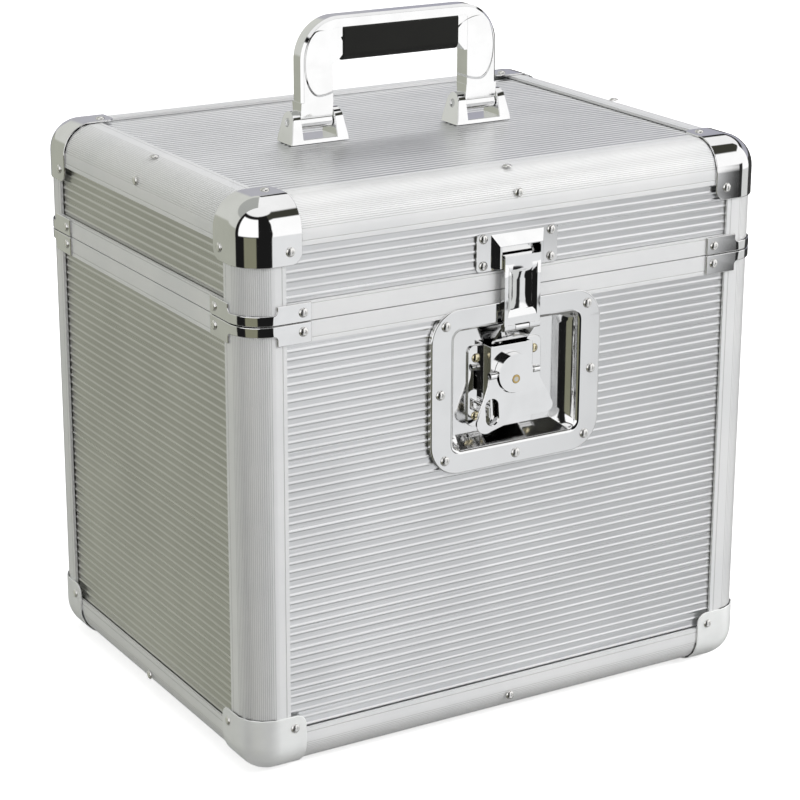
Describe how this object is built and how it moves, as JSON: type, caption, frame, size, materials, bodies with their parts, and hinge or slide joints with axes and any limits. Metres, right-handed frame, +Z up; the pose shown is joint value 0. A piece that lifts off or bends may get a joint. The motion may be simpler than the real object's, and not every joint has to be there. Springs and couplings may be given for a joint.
{
  "type": "record carrying case",
  "caption": "Lidded carrying case for twelve-inch records: ribbed metal panels in edge extrusions, ball corners, a dished butterfly latch and a folding top handle.",
  "frame": {"origin": "middle of the case's footprint, on the floor that the rubber feet stand on", "axes": "+X runs right along the front, +Y runs from the latch side to the hinge side, +Z is up"},
  "size_m": [0.3664, 0.2935, 0.4246],
  "materials": {
    "ribbed_aluminium": "satin rolled ribs",
    "extruded_aluminium": "satin extruded",
    "floor_sheet": "mill finish",
    "chrome_fittings": "bright plated",
    "satin_caps": "satin plated",
    "rivet_steel": "bright",
    "latch_chrome": "bright plated",
    "brass_pins": "pale yellow plated",
    "hinge_steel": "zinc plated",
    "handle_chrome": "bright plated",
    "grip_plastic": "moulded satin black",
    "foam_lining": "closed-cell foam",
    "rubber_feet": "matt"
  },
  "bodies": {
    "base": {"base_braces": "chrome_fittings", "base_corner_caps": "satin_caps", "base_feet": "rubber_feet", "base_floor": "floor_sheet", "base_lining": "foam_lining", "base_panel_front": "ribbed_aluminium", "base_panel_left": "ribbed_aluminium", "base_panel_rear": "ribbed_aluminium", "base_panel_right": "ribbed_aluminium", "base_post_front_left": "extruded_aluminium", "base_post_front_right": "extruded_aluminium", "base_post_rear_left": "extruded_aluminium", "base_post_rear_right": "extruded_aluminium", "base_rail_front": "extruded_aluminium", "base_rail_left": "extruded_aluminium", "base_rail_rear": "extruded_aluminium", "base_rail_right": "extruded_aluminium", "base_rim_front": "extruded_aluminium", "base_rim_left": "extruded_aluminium", "base_rim_rear": "extruded_aluminium", "base_rim_right": "extruded_aluminium", "base_rivets": "rivet_steel", "hinge_base_leaves": "hinge_steel", "hinge_pins": "hinge_steel", "latch_bracket": "latch_chrome", "latch_bracket_rivets": "brass_pins", "latch_dish": "latch_chrome", "latch_staple": "latch_chrome"},
    "lid": {"handle_pins": "handle_chrome", "handle_shoes": "handle_chrome", "hinge_lid_leaves": "hinge_steel", "latch_keeper": "latch_chrome", "lid_braces": "chrome_fittings", "lid_corner_caps": "chrome_fittings", "lid_lining": "foam_lining", "lid_panel_front": "ribbed_aluminium", "lid_panel_left": "ribbed_aluminium", "lid_panel_rear": "ribbed_aluminium", "lid_panel_right": "ribbed_aluminium", "lid_posts": "extruded_aluminium", "lid_rail_front": "extruded_aluminium", "lid_rail_left": "extruded_aluminium", "lid_rail_rear": "extruded_aluminium", "lid_rail_right": "extruded_aluminium", "lid_rim_front": "extruded_aluminium", "lid_rim_left": "extruded_aluminium", "lid_rim_rear": "extruded_aluminium", "lid_rim_right": "extruded_aluminium", "lid_rivets": "rivet_steel", "lid_top": "ribbed_aluminium"},
    "handle": {"handle_frame": "handle_chrome", "handle_grip": "grip_plastic"},
    "hub": {"latch_hub": "latch_chrome", "latch_crank_pin": "brass_pins", "latch_wing_pins": "latch_chrome"},
    "wing": {"latch_wing": "latch_chrome"},
    "slider": {"latch_slider": "latch_chrome", "latch_hook_pin": "latch_chrome"},
    "hook": {"latch_hook_arm": "latch_chrome"}
  },
  "joints": [
    {"name": "lid_hinge", "type": "hinge", "parent": "base", "child": "lid", "pos_m": [0, 0.1433, 0.2801], "axis": [-1, 0, 0], "range_deg": [0, 100]},
    {"name": "handle_fold", "type": "hinge", "parent": "lid", "child": "handle", "pos_m": [0, 0, 0.3609], "axis": [1, 0, 0], "range_deg": [-88, 88]},
    {"name": "hub_turn", "type": "hinge", "parent": "base", "child": "hub", "pos_m": [0, -0.14, 0.2265], "axis": [0, -1, 0], "range_deg": [0, 180]},
    {"name": "wing_fold", "type": "hinge", "parent": "hub", "child": "wing", "pos_m": [0, -0.1382, 0.2265], "axis": [-1, 0, 0], "range_deg": [0, 90]},
    {"name": "slider_lift", "type": "slide", "parent": "base", "child": "slider", "axis": [0, 0, 1], "range_m": [0, 0.0072]},
    {"name": "hook_tilt", "type": "hinge", "parent": "slider", "child": "hook", "pos_m": [0, -0.1442, 0.2571], "axis": [1, 0, 0], "range_deg": [0, 8.4]}
  ],
  "couplings": [
    {"joint": "wing_fold", "follows": "hub_turn", "ratio": 0.5},
    {"joint": "slider_lift", "follows": "hub_turn", "m_per_rad": 0.0022918},
    {"joint": "hook_tilt", "follows": "hub_turn", "ratio": 0.046667}
  ]
}
